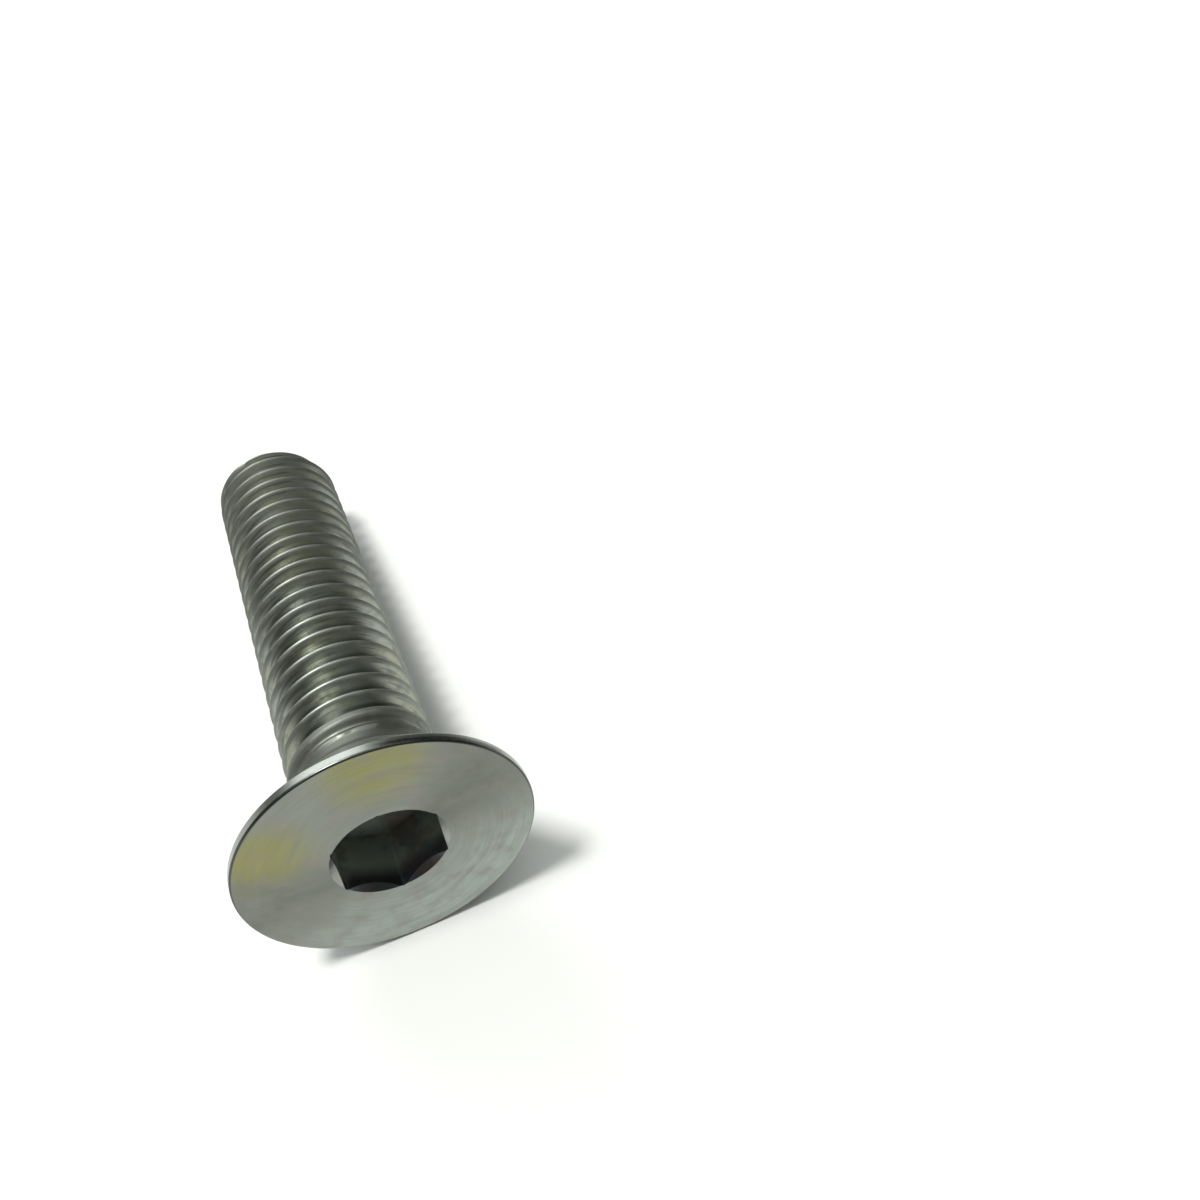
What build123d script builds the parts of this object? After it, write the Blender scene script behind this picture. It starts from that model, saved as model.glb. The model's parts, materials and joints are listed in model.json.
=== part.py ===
from build123d import *
import os
from math import atan, ceil, cos, degrees, radians, sin, tan

# Countersunk socket screw with a metric coarse thread, in millimetres. It is one
# turned, broached and thread-rolled piece, and it lies on its head's rim and its tip.

# Head
head_diameter = 11.3
head_angle = 90.0  # full angle of the countersunk cone
rim_land = 0.38  # straight band round the rim, from the flat face to the cone
rim_bevel = 0.12  # broken edge between the flat face and the rim
screw_length = 25.0  # a countersunk head counts in the length

# Hexagon socket
socket_width = 4.0  # across flats
socket_depth = 2.5
socket_turn = 0.0  # degrees from where one corner points straight up
mouth_margin = 0.08  # how far the mouth's countersink clears the corners
floor_margin = 0.15  # flat floor left between the drill's cone and the flats
floor_angle = 120.0  # full angle of the drill's cone

# Shank and thread
crest_diameter = 5.95  # a 6 mm thread less its clearance
pitch = 1.0
thread_angle = 60.0
crest_flat = pitch / 4  # the rolled crest's rounding, as a flat
neck_diameter = 5.45
neck_length = 0.5  # plain length between the cone and the first crest
neck_fillet = 0.5
runout_turns = 0.75  # the groove climbs out of the shank over this much of a turn
runout_lift = 0.05  # how far above the crests the groove's floor ends
groove_margin = crest_flat / 4  # how far the cutting form stands proud of the crests
tip_diameter = 4.4

head_radius = head_diameter / 2
crest_radius = crest_diameter / 2
neck_radius = neck_diameter / 2
tip_radius = tip_diameter / 2
tip_chamfer = crest_radius - tip_radius
cone_height = (head_radius - neck_radius) / tan(radians(head_angle / 2))
neck_start = rim_land + cone_height
thread_start = neck_start + neck_length
thread_full = thread_start + crest_radius - neck_radius

# The axis dips from the head to the tip until the crests there meet the ground.
rest_run = screw_length - tip_chamfer - rim_land
rest_angle = degrees(atan((head_radius - crest_radius) / rest_run))
axis_direction = Vector(cos(radians(rest_angle)), 0, -sin(radians(rest_angle)))
up_direction = Vector(sin(radians(rest_angle)), 0, cos(radians(rest_angle)))
screw_axis = Axis((0, 0, 0), axis_direction)

# The flat face, seen from outside: its centre is the origin and x points up it.
face_plane = Plane(origin=(0, 0, 0), x_dir=up_direction, z_dir=-axis_direction)

# Half section: x runs out from the axis and y runs from the flat face to the tip.
section_plane = Plane(
    origin=(0, 0, 0), x_dir=up_direction, z_dir=up_direction.cross(axis_direction)
)

# The blank is one profile revolved about the axis.
rim_corner = (head_radius, rim_land)

with BuildPart() as blank:
    with BuildSketch(section_plane):
        with BuildLine():
            Polyline(
                (0, 0),
                (head_radius - rim_bevel, 0),
                (head_radius, rim_bevel),
                rim_corner,
            )
            FilletPolyline(
                rim_corner,
                (neck_radius, neck_start),
                (neck_radius, thread_start),
                radius=neck_fillet,
            )
            Polyline(
                (neck_radius, thread_start),
                (crest_radius, thread_full),
                (crest_radius, screw_length - tip_chamfer),
                (tip_radius, screw_length),
                (0, screw_length),
                (0, 0),
            )
        make_face()
    revolve(axis=screw_axis)

# The thread is the V groove between its ridges, wound in whole turns from beyond the
# tip, and then climbing out of the shank at the neck.
flank_slope = tan(radians(thread_angle / 2))
mouth_half = (pitch - crest_flat) / 2
thread_depth = mouth_half / flank_slope
proud_half = mouth_half + groove_margin * flank_slope

groove_end = thread_full + pitch / 2
groove_turns = ceil((screw_length + pitch / 2 - groove_end) / pitch)
runout_height = runout_turns * pitch
runout_angle = degrees(atan((thread_depth + runout_lift) / runout_height))


# A groove wound from that distance below the flat face, that far towards the head.
def wind_groove(from_face, height, climb_angle):
    centre = axis_direction * from_face
    with BuildPart() as groove:
        with BuildLine() as coil:
            Helix(
                pitch,
                height,
                crest_radius,
                center=centre,
                direction=-axis_direction,
                cone_angle=climb_angle,
            )
        coil_start = coil.line @ 0
        outward = (coil_start - centre).normalized()
        groove_plane = Plane(
            origin=coil_start, x_dir=outward, z_dir=outward.cross(axis_direction)
        )
        with BuildSketch(groove_plane):
            with BuildLine():
                Polyline(
                    (-thread_depth, 0),
                    (groove_margin, -proud_half),
                    (groove_margin, proud_half),
                    close=True,
                )
            make_face()
        sweep(path=coil.line, is_frenet=True)
    return groove.part


last_turn = wind_groove(groove_end + pitch, pitch, 0)
runout = wind_groove(groove_end, runout_height, runout_angle)
turn_steps = [axis_direction * (pitch * turn) for turn in range(groove_turns)]

# The socket: a broached hexagon, the drill's cone below it and a countersunk mouth.
corner_radius = socket_width / 2 / cos(radians(30))
mouth_radius = corner_radius + mouth_margin
floor_radius = socket_width / 2 - floor_margin
floor_depth = socket_depth + floor_radius / tan(radians(floor_angle / 2))

with BuildPart() as socket:
    with BuildSketch(face_plane):
        RegularPolygon(corner_radius, side_count=6, rotation=socket_turn)
    extrude(amount=-socket_depth)
    with BuildSketch(section_plane):
        with BuildLine():
            Polyline((0, 0), (mouth_radius, 0), (0, mouth_radius), close=True)
        make_face()
        with BuildLine():
            Polyline(
                (0, socket_depth),
                (floor_radius, socket_depth),
                (0, floor_depth),
                close=True,
            )
        make_face()
    revolve(axis=screw_axis)

with BuildPart() as screw:
    add(blank.part)
    with Locations(*turn_steps):
        add(last_turn, mode=Mode.SUBTRACT)
    add(runout, mode=Mode.SUBTRACT)
    add(socket.part, mode=Mode.SUBTRACT)

# Set down on Z = 0, with its box centred over the origin.
lying_box = screw.part.bounding_box()
lying_centre = lying_box.center()

with BuildPart() as countersunk_socket_screw:
    with Locations((-lying_centre.X, -lying_centre.Y, -lying_box.min.Z)):
        add(screw.part)

countersunk_socket_screw.part.label = "countersunk_socket_screw"
os.makedirs("parts", exist_ok=True)
export_step(countersunk_socket_screw.part, "parts/countersunk_socket_screw.step")
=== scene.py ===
import json
import math
import bpy
import bmesh
import numpy as np
from mathutils import Matrix, Vector


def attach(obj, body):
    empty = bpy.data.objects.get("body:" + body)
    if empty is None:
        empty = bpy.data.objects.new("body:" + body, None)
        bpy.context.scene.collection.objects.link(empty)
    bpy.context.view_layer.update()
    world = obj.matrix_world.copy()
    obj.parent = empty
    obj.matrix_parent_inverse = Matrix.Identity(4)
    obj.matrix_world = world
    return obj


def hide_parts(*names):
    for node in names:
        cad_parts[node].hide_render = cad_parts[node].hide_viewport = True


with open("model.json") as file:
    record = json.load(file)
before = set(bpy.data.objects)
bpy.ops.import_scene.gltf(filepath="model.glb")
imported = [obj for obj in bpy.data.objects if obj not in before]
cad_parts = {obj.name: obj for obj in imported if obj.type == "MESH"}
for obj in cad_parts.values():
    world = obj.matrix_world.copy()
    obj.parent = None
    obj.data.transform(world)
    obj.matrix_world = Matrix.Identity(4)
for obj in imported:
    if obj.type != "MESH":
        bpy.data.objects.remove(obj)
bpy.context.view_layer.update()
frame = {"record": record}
print("frame loaded")

mm = 0.001
halfTurn = math.pi
fullTurn = 2 * math.pi

# How the screw lies: the middle of its flat face, and its axis from there to the tip.
mounts = {mount["name"]: mount for mount in frame["record"]["mounts"]}
faceMiddle = np.array(mounts["hex_socket"]["pos_m"])
toTip = -np.array(mounts["hex_socket"]["axis"], dtype=float)
toTip /= np.linalg.norm(toTip)
toSide = np.cross(toTip, (0, 0, 1))
toSide /= np.linalg.norm(toSide)
toTop = np.cross(toSide, toTip)

screw = {  # millimetres and degrees, measured from the flat face towards the tip
    "length": 25.0,
    "headRadius": 5.65,
    "rimLand": 0.38,
    "faceRound": 0.1,  # rounding between the face and the rim
    "rimRound": 0.05,  # rounding between the rim and the cone
    "coneEnd": 3.305,  # where the cone would meet the neck with no fillet
    "neckRadius": 2.725,
    "neckFillet": 0.4,
    "neckEnd": 3.7,  # where the ringed part hands over to the wound part
    "crestRadius": 2.975,
    "pitch": 1.0,
    "threadDepth": 0.6134,
    "crestFlat": 0.125,
    "flankAngle": 30.0,
    "crestSoftness": 0.13,
    "rootSoftness": 0.15,
    "envelopeSoftness": 0.1,
    "threadStart": 3.805,
    "grooveEnd": 4.555,  # the groove's middle under the screw, where it starts to climb out
    "runoutTurns": 1.1,
    "runoutLift": 0.1,  # how far past the crests the groove's floor climbs
    "tipRadius": 2.2,
    "tipEdge": 0.08,  # from the chamfer to the end's outermost ring
    "endRings": 6,
    "endHole": 0.2,  # radius of the last ring, which is filled as one face
    "turnColumns": 168,
    "rowsPerPitch": 20,
    "rowCrowding": 0.55,
    "longestRow": 0.4,
    "rowGuard": 0.02,
    "faceFinishEnd": 0.03,  # the face's own finish ends halfway round the edge
    "sharpAngle": 35,
    "weldDistance": 0.002,
}

socket = {  # millimetres and degrees
    "halfWidth": 2.0,
    "depth": 2.5,
    "mouthRadius": 2.25,
    "faceStart": 2.42,  # the face's first full ring, just past the hexagon's corners
    "cornerCrowding": 0.7,
    "cornerRound": 0.12,
    "cornerSoftness": 0.03,
    "wallShares": (0, 0.01, 0.2, 0.5, 0.8, 0.99, 1),  # where the walls' rows lie
    "drillRadius": 1.85,
    "drillAngle": 60.0,  # from the axis to the drilled cone
    "floorRings": (1.85, 1.2, 0.6, 0.2),
}

# The number of each part's material on the piece.
slots = {"face": 0, "socket": 1, "thread": 2, "end": 3, "cone": 4}

columnAngles = np.arange(screw["turnColumns"]) * fullTurn / screw["turnColumns"]


# A point is the face's middle, plus its distance along the axis, plus its radius times
# the direction at its angle, which turns right-handed about the axis from the top.
def placeOnScrew(distance, radius, angle):
    outward = np.cos(angle)[..., None] * toTop + np.sin(angle)[..., None] * toSide
    return faceMiddle + mm * (distance[..., None] * toTip + radius[..., None] * outward)


# The lower of two heights, with the corner between them eased over the softness: the
# overlap's square over four times the softness is taken off.
def softLower(one, other, softness):
    overlap = np.maximum(softness - np.abs(one - other), 0)
    return np.minimum(one, other) - overlap**2 / (4 * softness)


# The higher of two, eased in the same way.
def softHigher(one, other, softness):
    return -softLower(-one, -other, softness)


# A path through corners, with each corner that has a radius turned into an arc: from its
# tangent points, the arc's angle runs evenly about the centre on the corner's bisector.
def roundedPath(corners, arcSteps=6):
    path = [np.array([corners[0][:2]])]
    for before, corner, after in zip(corners, corners[1:], corners[2:]):
        point = np.array(corner[:2], dtype=float)
        radius = corner[2]
        back = np.array(before[:2]) - point
        ahead = np.array(after[:2]) - point
        back = back / np.linalg.norm(back)
        ahead = ahead / np.linalg.norm(ahead)
        halfCorner = math.acos(np.clip(back @ ahead, -1, 1)) / 2
        bisector = (back + ahead) / np.linalg.norm(back + ahead)
        centre = point + bisector * radius / math.sin(halfCorner)
        sweep = halfTurn - 2 * halfCorner
        upright = (back - ahead) / np.linalg.norm(back - ahead)
        steps = np.linspace(sweep / 2, -sweep / 2, arcSteps + 1)[:, None]
        path.append(centre + radius * (np.sin(steps) * upright - np.cos(steps) * bisector))
    path.append(np.array([corners[-1][:2]]))
    return np.vstack(path)


# Extra rows on long straight stretches, with one close to each end so that the shading
# of an arc doesn't spread over the flat beside it.
def fillStretches(path, longest, guard):
    rows = [path[:1]]
    for start, end in zip(path, path[1:]):
        span = np.linalg.norm(end - start)
        if span > 4 * guard:
            inner = np.linspace(guard / span, 1 - guard / span, max(2, round(span / longest) + 1))
            rows.append(start + inner[:, None] * (end - start))
        rows.append(end[None])
    return np.vstack(rows)


# Rings: a profile carried round the axis, so every column has its distances and radii.
def ringRows(path):
    shape = (len(path), len(columnAngles))
    distance = np.broadcast_to(path[:, :1], shape)
    radius = np.broadcast_to(path[:, 1:2], shape)
    return placeOnScrew(distance, radius, np.broadcast_to(columnAngles, shape))


# The head's profile as distances and radii: half the face, the rim, the cone, the neck.
def headPath():
    s = screw
    corners = [
        (0, socket["faceStart"]),
        (0, s["headRadius"], s["faceRound"]),
        (s["rimLand"], s["headRadius"], s["rimRound"]),
        (s["coneEnd"], s["neckRadius"], s["neckFillet"]),
        (s["neckEnd"], s["neckRadius"]),
    ]
    return fillStretches(roundedPath(corners), s["longestRow"], s["rowGuard"])


# The first row is the socket's mouth, where the corners of the hexagon reach past the
# circle of the countersink.
def headRows():
    angle, outline = socketOutline()
    edge = np.maximum(outline, socket["mouthRadius"])
    return np.concatenate([placeOnScrew(0 * edge, edge, angle)[None], ringRows(headPath())])


# The face has its own finish, and the rim, the cone and the neck share another.
def headSlots():
    distance = np.append(0, headPath()[:, 0])
    return np.where(distance < screw["faceFinishEnd"], slots["face"], slots["cone"])


# The shank's outside with no groove: neck, a 45 degree rise to the crests, and the
# 45 degree tip chamfer, the lowest of the three at each distance.
def shankEnvelope(distance):
    s = screw
    rise = s["neckRadius"] + np.maximum(distance - s["threadStart"], 0)
    chamfer = s["tipRadius"] + s["length"] - distance
    body = softLower(rise, np.full_like(distance, s["crestRadius"]), s["envelopeSoftness"])
    return softLower(body, chamfer, s["envelopeSoftness"])


# Wound rows: the distance grows by one pitch for each turn, so each row follows the
# thread, and it is held between the neck and the tip. The rows crowd towards the roots
# and the crests by a sine of twice the turns. The groove is a flank line on each side of
# the nearest winding's middle, eased into the root and the crest, and it is lifted out
# of the shank over its last turn.
def threadRows():
    s = screw
    pitch = s["pitch"]
    mouthHalf = (pitch - s["crestFlat"]) / 2
    first = math.floor((s["neckEnd"] - pitch - s["grooveEnd"]) / pitch) - 1
    last = math.ceil((s["length"] - s["grooveEnd"]) / pitch) + 2
    turns = np.arange((last - first) * s["rowsPerPitch"] + 1) / s["rowsPerPitch"] + first
    crowded = turns - s["rowCrowding"] / (4 * halfTurn) * np.sin(4 * halfTurn * turns)
    angle = columnAngles[None, :]
    groove = s["grooveEnd"] + pitch * (angle - halfTurn) / fullTurn
    distance = np.clip(groove + pitch * crowded[:, None], s["neckEnd"], s["length"])
    winding = np.round((distance - groove) / pitch)
    fromMiddle = np.abs(distance - groove - winding * pitch)
    slope = 1 / math.tan(math.radians(s["flankAngle"]))
    flank = s["crestRadius"] - (mouthHalf - fromMiddle) * slope
    root = np.full_like(flank, s["crestRadius"] - s["threadDepth"])
    turnsLeft = winding + (angle - halfTurn) / fullTurn
    climb = np.maximum(-turnsLeft, 0) / s["runoutTurns"] * (s["threadDepth"] + s["runoutLift"])
    grooved = softHigher(flank, root, s["rootSoftness"]) + climb
    radius = softLower(grooved, shankEnvelope(distance), s["crestSoftness"])
    radius = np.where(distance <= s["neckEnd"], s["neckRadius"], radius)
    radius = np.where(distance >= s["length"], s["tipRadius"], radius)
    return placeOnScrew(distance, radius, np.broadcast_to(angle, distance.shape))


# The flat end: rings at the full length, from the chamfer's edge in to the middle.
def tipRows():
    s = screw
    inner = np.linspace(s["tipRadius"] - s["tipEdge"], s["endHole"], s["endRings"])
    radius = np.append(s["tipRadius"], inner)
    return ringRows(np.stack([np.full_like(radius, s["length"]), radius], 1))


# A hexagon with rounded corners: at each angle the radius is the half width over the
# cosine of the angle from the nearest flat's middle, held down to a circle at the corners.
# The columns crowd towards the corners.
def socketOutline():
    crowd = socket["cornerCrowding"]
    angle = columnAngles - crowd / 6 * np.sin(6 * columnAngles)
    sixth = fullTurn / 6
    fromFlat = np.mod(angle, sixth) - sixth / 2
    flat = socket["halfWidth"] / np.cos(fromFlat)
    corner = socket["halfWidth"] / math.cos(sixth / 2)
    held = np.full_like(flat, corner - socket["cornerRound"] * (1 / math.cos(sixth / 2) - 1))
    return angle, softLower(flat, held, socket["cornerSoftness"])


# From the mouth's edge down its 45 degree lip, along the walls and down the drilled cone.
def socketRows():
    angle, outline = socketOutline()
    mouth = socket["mouthRadius"]
    depth = socket["depth"]
    slope = 1 / math.tan(math.radians(socket["drillAngle"]))
    lip = np.maximum(mouth - outline, 0)
    rows = [(0 * outline, np.maximum(outline, mouth), angle)]
    for share in socket["wallShares"]:
        rows.append((lip + (depth - lip) * share, outline, angle))
    for radius in socket["floorRings"]:
        ring = np.full_like(outline, radius)
        rows.append((depth + (socket["drillRadius"] - ring) * slope, ring, columnAngles))
    distance, radius, turned = (np.array(values) for values in zip(*rows))
    return placeOnScrew(distance, radius, turned)


# Quads between neighbouring rows and columns. The last column joins the first one, as
# many rows further on as the rows are wound in one turn.
def gridFaces(rows, columns, wound, flipped):
    row = np.arange(rows - 1 - wound)[:, None]
    column = np.arange(columns)[None, :]
    wrap = (column == columns - 1) * wound
    here = row * columns + column
    beside = (row + wrap) * columns + (column + 1) % columns
    quads = np.stack([here, beside, beside + columns, here + columns], -1).reshape(-1, 4)
    return quads[:, ::-1] if flipped else quads


# Joins the socket, the head, the thread and the end along the rows that they share, and
# fills the two small rings that are left open in the middle of the socket and the end.
def buildScrew():
    columns = screw["turnColumns"]
    strips = [
        (socketRows(), 0, slots["socket"], True),
        (headRows(), 0, headSlots(), False),
        (threadRows(), screw["rowsPerPitch"], slots["thread"], False),
        (tipRows(), 0, slots["end"], False),
    ]
    points, quads, chosen, start = [], [], [], 0
    for rows, wound, slot, flipped in strips:
        faces = gridFaces(len(rows), columns, wound, flipped)
        perRow = np.broadcast_to(slot, len(rows))[: len(faces) // columns]
        points.append(rows.reshape(-1, 3))
        quads.append(faces + start)
        chosen.append(np.repeat(perRow, columns))
        start += rows.size // 3
    mesh = bpy.data.meshes.new("countersunkScrew")
    mesh.from_pydata(np.vstack(points).tolist(), [], np.vstack(quads).tolist())
    mesh.polygons.foreach_set("material_index", np.concatenate(chosen).astype(np.int32))
    form = bmesh.new()
    form.from_mesh(mesh)
    bmesh.ops.remove_doubles(form, verts=form.verts, dist=screw["weldDistance"] * mm)
    openEdges = [edge for edge in form.edges if edge.is_boundary]
    bmesh.ops.holes_fill(form, edges=openEdges, sides=columns)
    bmesh.ops.recalc_face_normals(form, faces=form.faces)
    form.to_mesh(mesh)
    form.free()
    mesh.shade_smooth()
    mesh.set_sharp_from_angle(angle=math.radians(screw["sharpAngle"]))
    piece = bpy.data.objects.new("countersunkScrew", mesh)
    bpy.context.scene.collection.objects.link(piece)
    print("screw built:", len(mesh.polygons), "faces")
    return piece


# Adds a node: its settings are attributes, and its inputs are numbers, colours or sockets.
def addNode(tree, kind, inputs=None, **settings):
    node = tree.nodes.new("ShaderNode" + kind)
    for name, value in settings.items():
        setattr(node, name, value)
    for key, value in (inputs or {}).items():
        if isinstance(value, bpy.types.NodeSocket):
            tree.links.new(value, node.inputs[key])
        else:
            node.inputs[key].default_value = value
    return node


# Arithmetic on one or two masks.
def combine(tree, operation, first, second=0.0, clamp=False):
    node = addNode(tree, "Math", {0: first, 1: second}, operation=operation, use_clamp=clamp)
    return node.outputs[0]


# From 0 at one value to 1 at the other, eased at both ends.
def ramp(tree, value, low, high):
    inputs = {"Value": value, "From Min": low, "From Max": high}
    return addNode(tree, "MapRange", inputs, interpolation_type="SMOOTHSTEP").outputs[0]


# One colour where the mask is 0, the other where it is 1.
def tint(tree, mask, base, over):
    node = addNode(tree, "Mix", {"Factor": mask, "A": base, "B": over}, data_type="RGBA")
    return node.outputs["Result"]


# Stretches a mask from 0 to 1 over another range.
def level(tree, mask, low, high):
    return addNode(tree, "MapRange", {"Value": mask, "To Min": low, "To Max": high}).outputs[0]


# A new node group. An input without a number is a place, and the others are numbers.
def newGroup(name, inputs, outputs):
    group = bpy.data.node_groups.new(name, "ShaderNodeTree")
    for title, value in inputs.items():
        kind = "NodeSocketVector" if value is None else "NodeSocketFloat"
        entry = group.interface.new_socket(title, in_out="INPUT", socket_type=kind)
        if value is not None:
            entry.default_value = value
    for title, kind in outputs.items():
        group.interface.new_socket(title, in_out="OUTPUT", socket_type="NodeSocket" + kind)
    given = group.nodes.new("NodeGroupInput").outputs
    return group, given, group.nodes.new("NodeGroupOutput").inputs


# Where a point is on the screw, in millimetres: along the axis from the face, out from
# the axis, and as a place whose X runs along the axis, Y to its top and Z to its side.
def makeScrewPlace():
    outputs = {"Place": "Vector", "Along": "Float", "Radius": "Float"}
    group, _, out = newGroup("screwPlace", {}, outputs)
    turned = Matrix((toTip, toTop, toSide)).transposed().to_euler()
    inputs = {
        "Vector": addNode(group, "TexCoord").outputs["Object"],
        "Location": faceMiddle,
        "Rotation": turned,
        "Scale": (mm, mm, mm),
    }
    place = addNode(group, "Mapping", inputs, vector_type="TEXTURE").outputs[0]
    parts = addNode(group, "SeparateXYZ", {0: place}).outputs
    across = addNode(group, "CombineXYZ", {"Y": parts["Y"], "Z": parts["Z"]}).outputs[0]
    radius = addNode(group, "VectorMath", {0: across}, operation="LENGTH").outputs["Value"]
    for name, value in (("Place", place), ("Along", parts["X"]), ("Radius", radius)):
        group.links.new(value, out[name])
    return group


# Noise that changes quickly with the profile and slowly with the place, so that it makes
# lines where the profile stays the same, which waver a little on the way.
def lineNoise(group, given, profile):
    step = combine(group, "DIVIDE", profile, given["Spacing"])
    across = addNode(group, "CombineXYZ", {"X": step}).outputs[0]
    scaled = {0: given["Place"], "Scale": given["Waver"]}
    drift = addNode(group, "VectorMath", scaled, operation="SCALE").outputs[0]
    shifted = addNode(group, "VectorMath", {0: drift, 1: across}, operation="ADD").outputs[0]
    inputs = {"Vector": shifted, "Scale": 1.0, "Detail": 2.0, "Roughness": 0.6}
    return addNode(group, "TexNoise", inputs).outputs[0]


# Fine lines round the axis, as a turning tool leaves them: their profile is 1.7 *
# distance + radius, which grows along the face, the rim and the cone.
def makeTurnedLines():
    inputs = {"Place": None, "Along": 0, "Radius": 0, "Spacing": 0.1, "Waver": 0.1}
    group, given, out = newGroup("turnedLines", inputs, {"Lines": "Float"})
    lengthways = combine(group, "MULTIPLY", given["Along"], 1.7)
    profile = combine(group, "ADD", lengthways, given["Radius"])
    group.links.new(lineNoise(group, given, profile), out["Lines"])
    return group


# Drawn lines that follow the thread: their profile is the share of the pitch past a
# crest, the fraction of (distance - groove end) / pitch + 1 / 2 - angle / full turn.
def makeDrawnLines():
    inputs = {"Place": None, "Along": 0, "Spacing": 0.2, "Waver": 0.2}
    group, given, out = newGroup("drawnLines", inputs, {"Lines": "Float"})
    parts = addNode(group, "SeparateXYZ", {0: given["Place"]}).outputs
    angle = combine(group, "ARCTAN2", parts["Z"], parts["Y"])
    turns = combine(group, "DIVIDE", angle, fullTurn)
    fromEnd = combine(group, "SUBTRACT", given["Along"], screw["grooveEnd"])
    pitches = combine(group, "ADD", combine(group, "DIVIDE", fromEnd, screw["pitch"]), 0.5)
    share = combine(group, "FRACT", combine(group, "SUBTRACT", pitches, turns))
    group.links.new(lineNoise(group, given, share), out["Lines"])
    return group


# Soft blotches: noise of one size, cut off low and high.
def makeBlotches():
    inputs = {"Place": None, "Size": 2.0, "From": 0.5, "Full": 0.7}
    group, given, out = newGroup("blotches", inputs, {"Mask": "Float"})
    scale = combine(group, "DIVIDE", 1.0, given["Size"])
    inputs = {"Vector": given["Place"], "Scale": scale, "Detail": 3.0, "Roughness": 0.55}
    noise = addNode(group, "TexNoise", inputs).outputs[0]
    group.links.new(ramp(group, noise, given["From"], given["Full"]), out["Mask"])
    return group


# Short thin scratches: two layers of noise drawn out along crossing directions, each kept
# only where it peaks.
def makeScratches():
    group, given, out = newGroup("scratches", {"Place": None, "Size": 1.0}, {"Mask": "Float"})
    scale = combine(group, "DIVIDE", 1.0, given["Size"])
    layers = []
    for turned in ((0.3, 0.5, 0.9), (1.1, -0.6, 0.2)):
        inputs = {"Vector": given["Place"], "Rotation": turned, "Scale": (14, 14, 0.9)}
        spun = addNode(group, "Mapping", inputs).outputs[0]
        inputs = {"Vector": spun, "Scale": scale, "Detail": 1.0}
        noise = addNode(group, "TexNoise", inputs).outputs[0]
        layers.append(ramp(group, noise, 0.68, 0.75))
    group.links.new(combine(group, "MAXIMUM", *layers), out["Mask"])
    return group


finishes = {
    "steel": (0.28, 0.298, 0.268, 1),
    "yellowFilm": (0.31, 0.3, 0.09, 1),
    "pinkFilm": (0.285, 0.25, 0.225, 1),
    # green tint, also painted lighter as a reflection on the face's lower right
    "greenTintAndSheen": (0.47, 0.54, 0.5, 1),
    "greyFilm": (0.33, 0.36, 0.335, 1),
    "dullFilm": (0.195, 0.205, 0.18, 1),
    # painted shade for the band across the face
    "paintedShadeBand": (0.13, 0.14, 0.122, 1),
    # painted shade for the dark line round the face's edge and along the rim
    "edge": (0.05, 0.05, 0.055, 1),
    "crest": (0.255, 0.27, 0.243, 1),
    # crest tone towards the tip, darker as painted shade
    "shadedCrest": (0.18, 0.19, 0.171, 1),
    "flank": (0.37, 0.39, 0.355, 1),
    "oliveFilm": (0.34, 0.34, 0.23, 1),
    "streak": (0.145, 0.154, 0.14, 1),
    # dark tone for random grime and pits, and painted shade in the thread's roots
    "root": (0.115, 0.125, 0.11, 1),
    # painted shade for the neck and the run-out
    "neck": (0.15, 0.16, 0.14, 1),
    "socketMouth": (0.38, 0.39, 0.36, 1),
    "socketDepth": (0.27, 0.3, 0.26, 1),
    # painted dark reflection on one side of the socket's mouth
    "mouthDarkReflection": (0.055, 0.06, 0.075, 1),
    "redFilm": (0.17, 0.11, 0.09, 1),
    "blueFilm": (0.10, 0.12, 0.19, 1),
}

# Places on the face, in millimetres up from its middle and to its right.
marks = {
    "yellowSpots": ((4.8, 0.5), (2.2, -4.2)),
    "mouthReflectionSpot": (-2.4, 0.1),  # the side of the socket's mouth painted with a dark reflection
    "rimReflectionSpot": (4.7, 3.2),  # the stretch of the rim painted with a dark reflection
}

# Millimetres: how far apart the lines are, and how deep each finish is.
texture = {
    "faceLines": 0.11,
    "faceRings": 0.3,
    "coneLines": 0.08,
    "endLines": 0.22,
    "drawnLines": 0.11,
    "fineLines": 0.045,
    "faceDepth": 0.0022,
    "coneDepth": 0.0012,
    "threadDepth": 0.006,
    "endDepth": 0.004,
    "socketDepth": 0.0015,
}

# Millimetres where each mask is 0 and where it is full: along the axis from the face.
alongFades = {
    "rimEdgeShade": (0.11, 0.07),
    "rimEnd": (0.3, 0.18),
    "neck": (1.9, 3.1),
    "runout": (5.1, 4.1),
    "polishAndSheen": (24, 5),
    "socketInside": (0.3, 1.2),
}

# The same, out from the axis.
radiusFades = {
    "faceEdgeShade": (5.56, 5.6),
    "faceWear": (5.5, 5.62),
    "crest": (2.78, 2.93),
    "root": (2.64, 2.44),
}

# The same, away from a place on the face.
spotFades = {
    "yellowSpots": (2.5, 0.8),
    "mouthReflectionSpot": (2.7, 2.1),
    "rimReflectionSpot": (2.9, 2.0),
}

# How rough each finish is, from its smoothest stretches to its roughest.
roughness = {
    "face": (0.33, 0.42),
    "cone": (0.28, 0.31),
    "thread": (0.3, 0.4),
    "end": (0.32, 0.5),
    "socket": (0.34, 0.46),
}


# How far a point is from a place on the face.
def spread(tree, place, spot):
    inputs = {0: place, 1: (0, *spot)}
    return addNode(tree, "VectorMath", inputs, operation="DISTANCE").outputs["Value"]


# A new metal, with its shader's inputs and the place on the screw.
def newFinish(name):
    material = bpy.data.materials.new(name)
    material.use_nodes = True
    tree = material.node_tree
    shader = tree.nodes["Principled BSDF"]
    shader.inputs["Metallic"].default_value = 1.0
    place = addNode(tree, "Group", node_tree=groups["screwPlace"]).outputs
    return material, tree, shader.inputs, place


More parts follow.
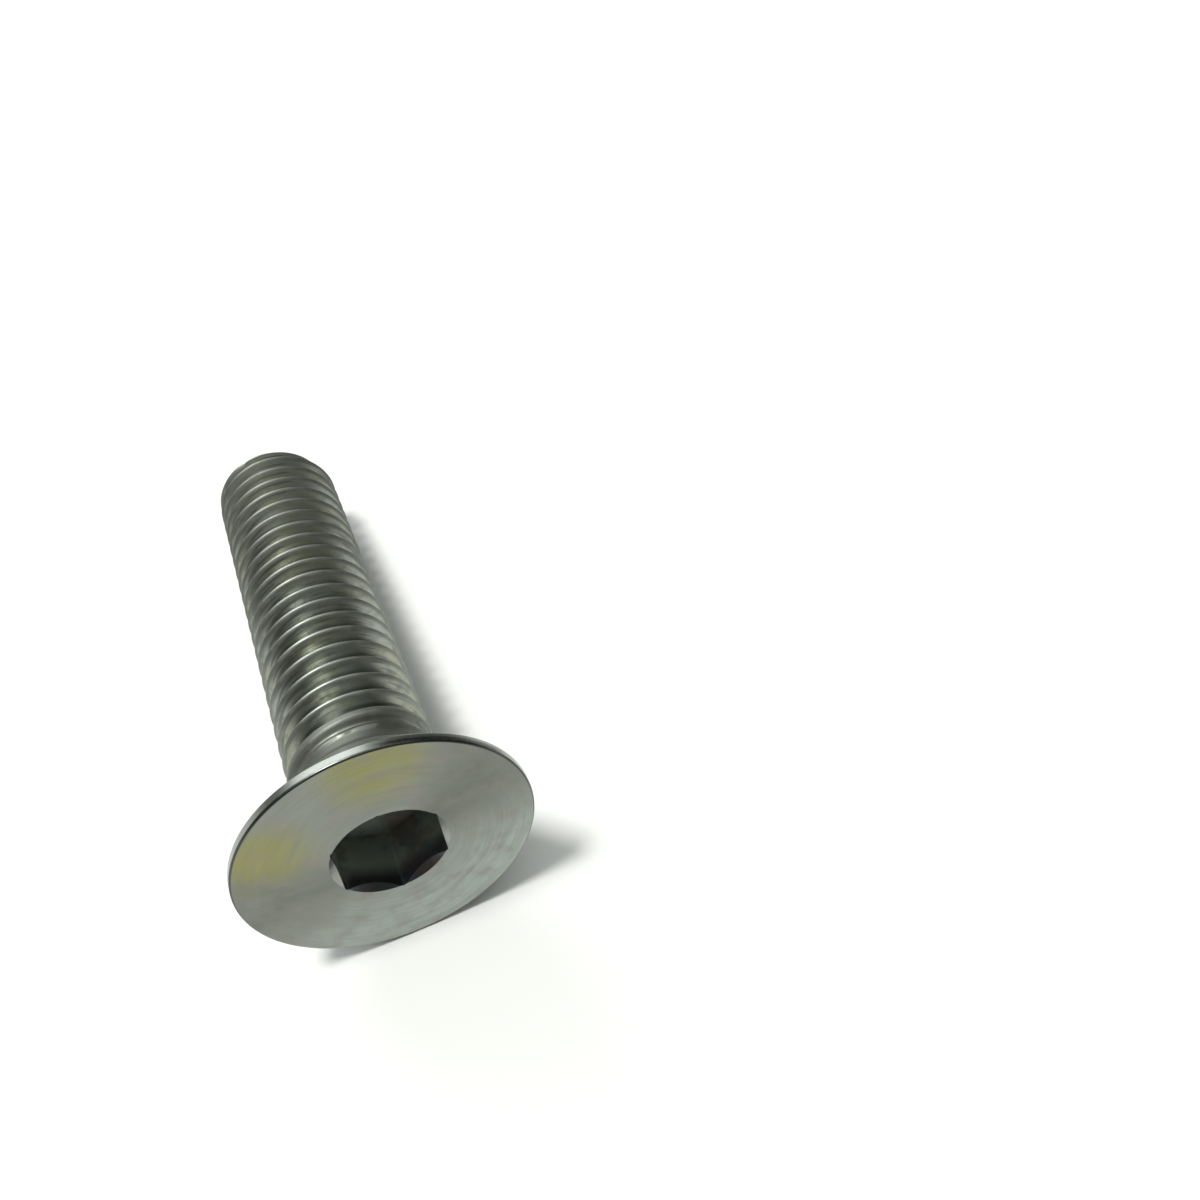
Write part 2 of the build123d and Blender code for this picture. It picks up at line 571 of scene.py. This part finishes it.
# Adds one of the shared groups, with its place joined up and its values set.
def useGroup(tree, name, place, **values):
    node = addNode(tree, "Group", node_tree=groups[name])
    for key in ("Place", "Along", "Radius"):
        if key in node.inputs:
            tree.links.new(place[key], node.inputs[key])
    for key, value in values.items():
        node.inputs[key].default_value = value
    return node.outputs[0]


# Bump on the shading only: the height times the depth, given in millimetres.
def addBump(tree, shader, height, depth):
    inputs = {"Height": height, "Distance": depth * mm, "Strength": 1.0}
    tree.links.new(addNode(tree, "Bump", inputs).outputs[0], shader["Normal"])


# The head's face: turning lines and rings, two yellow spots above, a green tint to the
# lower right that is also painted lighter there as a reflection, a band of painted shade
# from the lower left to the upper right, and painted shade round the edge. The band is
# where (up - 0.35 right) / |right + 0.35 up| is near 0.25.
def makeFaced():
    material, tree, shader, place = newFinish("facedSteel")
    lines = useGroup(tree, "turnedLines", place, Spacing=texture["faceLines"], Waver=0.25)
    coarse = useGroup(tree, "turnedLines", place, Spacing=texture["faceRings"], Waver=0.6)
    blotch = useGroup(tree, "blotches", place, Size=1.6, From=0.3, Full=0.6)
    speckle = useGroup(tree, "blotches", place, Size=0.9, From=0.42, Full=0.72)
    scratch = useGroup(tree, "scratches", place, Size=0.8)
    parts = addNode(tree, "SeparateXYZ", {0: place["Place"]}).outputs
    upLeft = combine(tree, "SUBTRACT", parts["Y"], combine(tree, "MULTIPLY", parts["Z"], 0.35))
    upRight = combine(tree, "ADD", parts["Z"], combine(tree, "MULTIPLY", parts["Y"], 0.35))

    near = [spread(tree, place["Place"], spot) for spot in marks["yellowSpots"]]
    spots = [ramp(tree, distance, *spotFades["yellowSpots"]) for distance in near]
    stained = combine(tree, "MAXIMUM", *spots)
    yellow = combine(tree, "MULTIPLY", stained, level(tree, blotch, 0.6, 1.0))
    # A green tint towards the lower right, painted lighter there as a reflection.
    greenAndSheen = combine(tree, "MULTIPLY", ramp(tree, upLeft, 0.5, -5.5), 0.85)
    # Painted shade: a darker band across the face from the lower left to the upper right.
    offBand = combine(tree, "DIVIDE", upLeft, combine(tree, "ABSOLUTE", upRight))
    offBand = combine(tree, "ABSOLUTE", combine(tree, "SUBTRACT", offBand, 0.25))
    uneven = level(tree, blotch, 0.85, 0.55)
    bandShade = combine(tree, "MULTIPLY", ramp(tree, offBand, 0.9, 0.05), uneven)
    broad = level(tree, coarse, -0.1, 0.55)
    rings = combine(tree, "ADD", broad, level(tree, lines, -0.15, 0.35), clamp=True)
    # Painted shade: a dark line round the face's edge.
    edge = ramp(tree, place["Radius"], *radiusFades["faceEdgeShade"])
    edgeShade = combine(tree, "MULTIPLY", edge, 0.85)

    colour = tint(tree, greenAndSheen, finishes["steel"], finishes["greenTintAndSheen"])
    colour = tint(tree, yellow, colour, finishes["yellowFilm"])
    colour = tint(tree, bandShade, colour, finishes["paintedShadeBand"])
    pink = combine(tree, "MULTIPLY", speckle, 0.5)
    colour = tint(tree, pink, colour, finishes["pinkFilm"])
    colour = tint(tree, rings, colour, finishes["dullFilm"])
    colour = tint(tree, edgeShade, colour, finishes["edge"])
    tree.links.new(colour, shader["Base Color"])

    wear = ramp(tree, place["Radius"], *radiusFades["faceWear"])
    smoother = combine(tree, "MULTIPLY", combine(tree, "MAXIMUM", scratch, wear), 0.05)
    rough = combine(tree, "SUBTRACT", level(tree, coarse, *roughness["face"]), smoother)
    tree.links.new(rough, shader["Roughness"])
    height = combine(tree, "SUBTRACT", lines, combine(tree, "MULTIPLY", scratch, 0.6))
    addBump(tree, shader, height, texture["faceDepth"])
    return material


# The rim, the cone and the neck: finer lines, a silky grain, and a neck that is rougher
# and darkened as painted shade. The rim has painted shade along the face's edge, and a
# painted dark reflection further down it at one spot.
def makeCone():
    material, tree, shader, place = newFinish("turnedSteel")
    lines = useGroup(tree, "turnedLines", place, Spacing=texture["coneLines"], Waver=0.3)
    grain = useGroup(tree, "blotches", place, Size=0.14, From=0.3, Full=0.7)
    blotch = useGroup(tree, "blotches", place, Size=2.2, From=0.42, Full=0.66)
    scratch = useGroup(tree, "scratches", place, Size=0.7)
    neck = ramp(tree, place["Along"], *alongFades["neck"])
    # Painted dark reflection on one stretch of the rim.
    fromSpot = spread(tree, place["Place"], marks["rimReflectionSpot"])
    nearSpot = ramp(tree, fromSpot, *spotFades["rimReflectionSpot"])
    onRim = ramp(tree, place["Along"], *alongFades["rimEnd"])
    rimReflectionMask = combine(tree, "MULTIPLY", nearSpot, onRim)
    # Painted shade: a dark line along the rim next to the face.
    edge = ramp(tree, place["Along"], *alongFades["rimEdgeShade"])
    dark = combine(tree, "MAXIMUM", edge, rimReflectionMask)
    edgeShade = combine(tree, "MULTIPLY", dark, level(tree, grain, 0.9, 0.75))

    colour = tint(tree, blotch, finishes["steel"], finishes["greyFilm"])
    colour = tint(tree, combine(tree, "MULTIPLY", grain, 0.25), colour, finishes["flank"])
    # Painted shade: the neck is darkened.
    colour = tint(tree, neck, colour, finishes["neck"])
    colour = tint(tree, edgeShade, colour, finishes["edge"])
    tree.links.new(colour, shader["Base Color"])

    satin = level(tree, grain, *roughness["cone"])
    satin = combine(tree, "ADD", satin, combine(tree, "MULTIPLY", neck, 0.24))
    satin = combine(tree, "ADD", satin, combine(tree, "MULTIPLY", scratch, 0.08))
    tree.links.new(satin, shader["Roughness"])
    addBump(tree, shader, lines, texture["coneDepth"])
    return material


# The rolled thread: pale crests, olive flanks and roots darkened as painted shade, with
# lines drawn along the thread. The crests are smoother towards the head and painted
# lighter there as a highlight, and the run-out is rougher and darkened as painted shade.
def makeRolled():
    material, tree, shader, place = newFinish("rolledSteel")
    drawn = useGroup(tree, "drawnLines", place, Spacing=texture["drawnLines"], Waver=0.35)
    fine = useGroup(tree, "drawnLines", place, Spacing=texture["fineLines"], Waver=0.5)
    blotch = useGroup(tree, "blotches", place, Size=1.7, From=0.4, Full=0.66)
    grime = useGroup(tree, "blotches", place, Size=0.45, From=0.42, Full=0.7)
    # Smoother crests towards the head, and a painted highlight: the crests painted lighter there.
    polishAndSheen = ramp(tree, place["Along"], *alongFades["polishAndSheen"])
    crest = ramp(tree, place["Radius"], *radiusFades["crest"])
    root = ramp(tree, place["Radius"], *radiusFades["root"])
    runout = ramp(tree, place["Along"], *alongFades["runout"])
    streak = combine(tree, "MULTIPLY", ramp(tree, drawn, 0.5, 0.62), 0.75)
    crestColour = tint(tree, polishAndSheen, finishes["shadedCrest"], finishes["crest"])

    olive = combine(tree, "MULTIPLY", blotch, 0.5)
    colour = tint(tree, olive, finishes["flank"], finishes["oliveFilm"])
    colour = tint(tree, level(tree, grime, 0, 0.3), colour, finishes["root"])
    colour = tint(tree, streak, colour, finishes["streak"])
    # Painted shade: the thread's roots are darkened.
    colour = tint(tree, combine(tree, "MULTIPLY", root, 0.9), colour, finishes["root"])
    colour = tint(tree, crest, colour, crestColour)
    # Painted shade: the run-out is darkened.
    colour = tint(tree, combine(tree, "MULTIPLY", runout, 0.8), colour, finishes["neck"])
    tree.links.new(colour, shader["Base Color"])

    rough = level(tree, grime, *roughness["thread"])
    rough = combine(tree, "ADD", rough, level(tree, polishAndSheen, 0.11, 0))
    for mask, share in ((root, 0.02), (runout, 0.14), (crest, 0.12)):
        rough = combine(tree, "ADD", rough, combine(tree, "MULTIPLY", mask, share))
    tree.links.new(rough, shader["Roughness"])
    height = combine(tree, "ADD", drawn, combine(tree, "MULTIPLY", fine, 0.5))
    addBump(tree, shader, height, texture["threadDepth"])
    return material


# The plain end: a sheared disc with coarse rings and a few pits.
def makeEnd():
    material, tree, shader, place = newFinish("shearedSteel")
    lines = useGroup(tree, "turnedLines", place, Spacing=texture["endLines"], Waver=0.5)
    pits = useGroup(tree, "blotches", place, Size=0.3, From=0.58, Full=0.72)
    blotch = useGroup(tree, "blotches", place, Size=1.4, From=0.4, Full=0.65)
    colour = tint(tree, blotch, finishes["steel"], finishes["flank"])
    colour = tint(tree, pits, colour, finishes["root"])
    tree.links.new(colour, shader["Base Color"])
    tree.links.new(level(tree, lines, *roughness["end"]), shader["Roughness"])
    addBump(tree, shader, combine(tree, "SUBTRACT", lines, pits), texture["endDepth"])
    return material


# The socket: drag lines from the punch run down its walls, one side of its mouth is
# darkened as a painted reflection, and below the mouth it is dull and stained red and blue.
def makeSocket():
    material, tree, shader, place = newFinish("punchedSteel")
    inputs = {"Vector": place["Place"], "Scale": (0.35, 7, 7)}
    stretched = addNode(tree, "Mapping", inputs).outputs[0]
    inputs = {"Vector": stretched, "Scale": 1.0, "Detail": 2.0}
    drag = addNode(tree, "TexNoise", inputs).outputs[0]
    grime = useGroup(tree, "blotches", place, Size=0.5, From=0.4, Full=0.65)
    red = useGroup(tree, "blotches", place, Size=1.6, From=0.5, Full=0.62)
    blue = useGroup(tree, "blotches", place, Size=1.3, From=0.52, Full=0.64)
    deep = ramp(tree, place["Along"], *alongFades["socketInside"])
    # Painted reflection: one side of the mouth is darkened.
    fromSpot = spread(tree, place["Place"], marks["mouthReflectionSpot"])
    mouthReflectionMask = ramp(tree, fromSpot, *spotFades["mouthReflectionSpot"])

    faint = combine(tree, "MULTIPLY", grime, 0.5)
    colour = tint(tree, faint, finishes["socketMouth"], finishes["flank"])
    colour = tint(tree, combine(tree, "MULTIPLY", mouthReflectionMask, 0.9), colour, finishes["mouthDarkReflection"])
    colour = tint(tree, deep, colour, finishes["socketDepth"])
    colour = tint(tree, combine(tree, "MULTIPLY", red, 0.6), colour, finishes["redFilm"])
    colour = tint(tree, combine(tree, "MULTIPLY", blue, 0.4), colour, finishes["blueFilm"])
    tree.links.new(colour, shader["Base Color"])
    tree.links.new(level(tree, deep, 1.0, 0.3), shader["Metallic"])

    smoother = combine(tree, "MULTIPLY", mouthReflectionMask, 0.05)
    rough = combine(tree, "SUBTRACT", level(tree, drag, *roughness["socket"]), smoother)
    tree.links.new(rough, shader["Roughness"])
    addBump(tree, shader, drag, texture["socketDepth"])
    return material


groups = {
    "screwPlace": makeScrewPlace(),
    "turnedLines": makeTurnedLines(),
    "drawnLines": makeDrawnLines(),
    "blotches": makeBlotches(),
    "scratches": makeScratches(),
}
piece = buildScrew()
for make in (makeFaced, makeSocket, makeRolled, makeEnd, makeCone):
    piece.data.materials.append(make())
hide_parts("countersunk_socket_screw")
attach(piece, "root")
print("finishes made")

floor = {
    "size": 3.0,  # metres
    "colour": (0.78, 0.79, 0.775),
    "roughness": 0.6,
}


# A flat square under the screw, half its size to each side of the middle.
def buildFloor():
    half = floor["size"] / 2
    mesh = bpy.data.meshes.new("paleFloor")
    corners = [(-half, -half, 0), (half, -half, 0), (half, half, 0), (-half, half, 0)]
    mesh.from_pydata(corners, [], [(0, 1, 2, 3)])
    ground = bpy.data.objects.new("paleFloor", mesh)
    bpy.context.scene.collection.objects.link(ground)
    material = bpy.data.materials.new("palePaint")
    material.use_nodes = True
    shader = material.node_tree.nodes["Principled BSDF"]
    shader.inputs["Base Color"].default_value = (*floor["colour"], 1)
    shader.inputs["Roughness"].default_value = floor["roughness"]
    mesh.materials.append(material)


camera = {
    "lens": 30,  # millimetres, as the sensor's width is
    "sensorWidth": 36,
    "azimuth": -21.3,  # degrees that the view turns from +X
    "lookDown": 49.0,
    "roll": 3.0,
    "faceAt": (-7.69, 9.27, 36.78),  # where the face's middle is: right, down and ahead
}


# The azimuth and the dip give the direction ahead, the cross products give right and
# down, and the roll turns these two. The lens is as far back from the face's middle as
# that point is right of it, below it and ahead of it.
def buildCamera():
    turn = math.radians(camera["azimuth"])
    down = math.radians(camera["lookDown"])
    flat = math.cos(down)
    ahead = Vector((math.cos(turn) * flat, math.sin(turn) * flat, -math.sin(down)))
    right = ahead.cross(Vector((0, 0, 1))).normalized()
    lower = ahead.cross(right)
    rolled = math.radians(camera["roll"])
    right, lower = (
        right * math.cos(rolled) + lower * math.sin(rolled),
        lower * math.cos(rolled) - right * math.sin(rolled),
    )
    across, below, depth = (value * mm for value in camera["faceAt"])
    place = Vector(faceMiddle) - right * across - lower * below - ahead * depth
    lens = bpy.data.cameras.new("camera")
    lens.sensor_width = camera["sensorWidth"]
    lens.lens = camera["lens"]
    lens.clip_start = 0.001
    viewer = bpy.data.objects.new("camera", lens)
    turned = Matrix((right, -lower, -ahead)).transposed().to_4x4()
    viewer.matrix_world = Matrix.Translation(place) @ turned
    bpy.context.scene.collection.objects.link(viewer)
    bpy.context.scene.camera = viewer


studio = {
    # name: the direction that it shines from, how wide it looks in degrees, strength, colour
    "keyLight": ((0.05, 0.3, 0.85), 14, 2.9, (1, 0.99, 0.97)),
    "ceilingLight": ((0.1, 0.05, 1.0), 80, 0.85, (0.97, 1, 0.98)),
    "windowLight": ((0.76, 0.26, 0.52), 42, 1.05, (0.97, 0.99, 1)),
    "lampDistance": 0.3,
    "room": (0.115, 0.125, 0.11, 1),  # what the steel reflects beside the lights
    "backdrop": (1, 1, 1, 1),  # what the camera sees past the floor
}


# Three suns, each turned to shine from its direction, and a world that is pale for the
# camera and dusky for everything else.
def buildStudio():
    for name in ("keyLight", "ceilingLight", "windowLight"):
        source, width, strength, colour = studio[name]
        light = bpy.data.lights.new(name, "SUN")
        light.angle = math.radians(width)
        light.energy = strength
        light.color = colour
        lamp = bpy.data.objects.new(name, light)
        lamp.location = Vector(source).normalized() * studio["lampDistance"]
        lamp.rotation_euler = Vector(source).to_track_quat("Z", "Y").to_euler()
        bpy.context.scene.collection.objects.link(lamp)
    world = bpy.data.worlds.new("studio")
    world.use_nodes = True
    tree = world.node_tree
    seen = addNode(tree, "LightPath").outputs["Is Camera Ray"]
    colour = tint(tree, seen, studio["room"], studio["backdrop"])
    tree.links.new(colour, tree.nodes["Background"].inputs["Color"])
    bpy.context.scene.world = world
    bpy.context.scene.view_settings.view_transform = "Standard"


buildFloor()
buildCamera()
buildStudio()
print("floor, camera and lights set")
